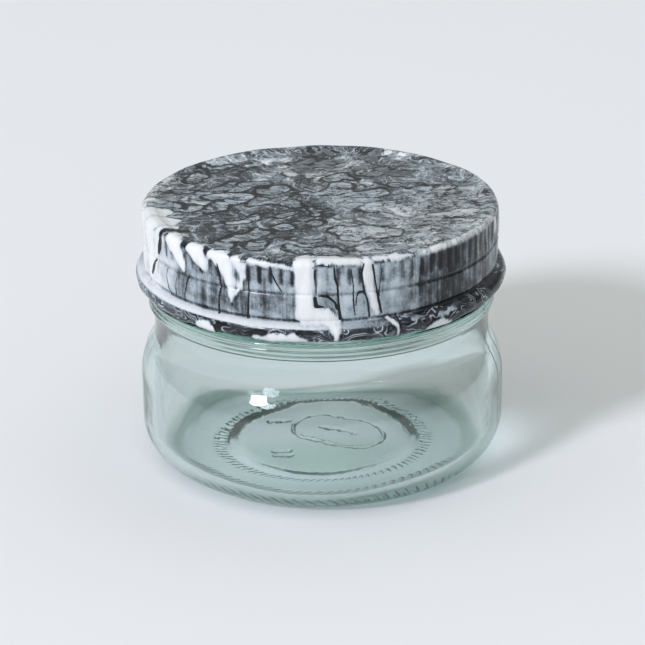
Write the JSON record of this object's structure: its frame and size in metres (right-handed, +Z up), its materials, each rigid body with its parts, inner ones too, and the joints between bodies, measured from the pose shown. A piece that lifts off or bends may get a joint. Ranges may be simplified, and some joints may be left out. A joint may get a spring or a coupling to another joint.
{
  "type": "lidded glass dish",
  "caption": "Squat round glass jar with a fluted metal cap covered in marbled poured paint, used as a nail liquid dish.",
  "frame": {"origin": "centre of the base ring's footprint, on the surface that the jar stands on", "axes": "+Z up along the jar's axis; -Y towards the side seen in the picture, +X to its right"},
  "size_m": [0.0604, 0.0604, 0.0435],
  "materials": {
    "jar_glass": "gloss",
    "tinplate": "satin",
    "plastisol": "satin",
    "poured_paint": "gloss"
  },
  "bodies": {
    "jar": {"glass_jar": "jar_glass"},
    "seal": {"sealing_gasket": "plastisol"},
    "lid": {"lid_shell": "tinplate", "paint_coat": "poured_paint"}
  },
  "joints": [
    {"name": "lid_lift", "type": "slide", "parent": "jar", "child": "seal", "axis": [0, 0, 1], "range_m": [0, 0.03]},
    {"name": "lid_twist", "type": "hinge", "parent": "seal", "child": "lid", "pos_m": [0, 0, 0], "axis": [0, 0, 1], "range_deg": [0, 120]}
  ]
}
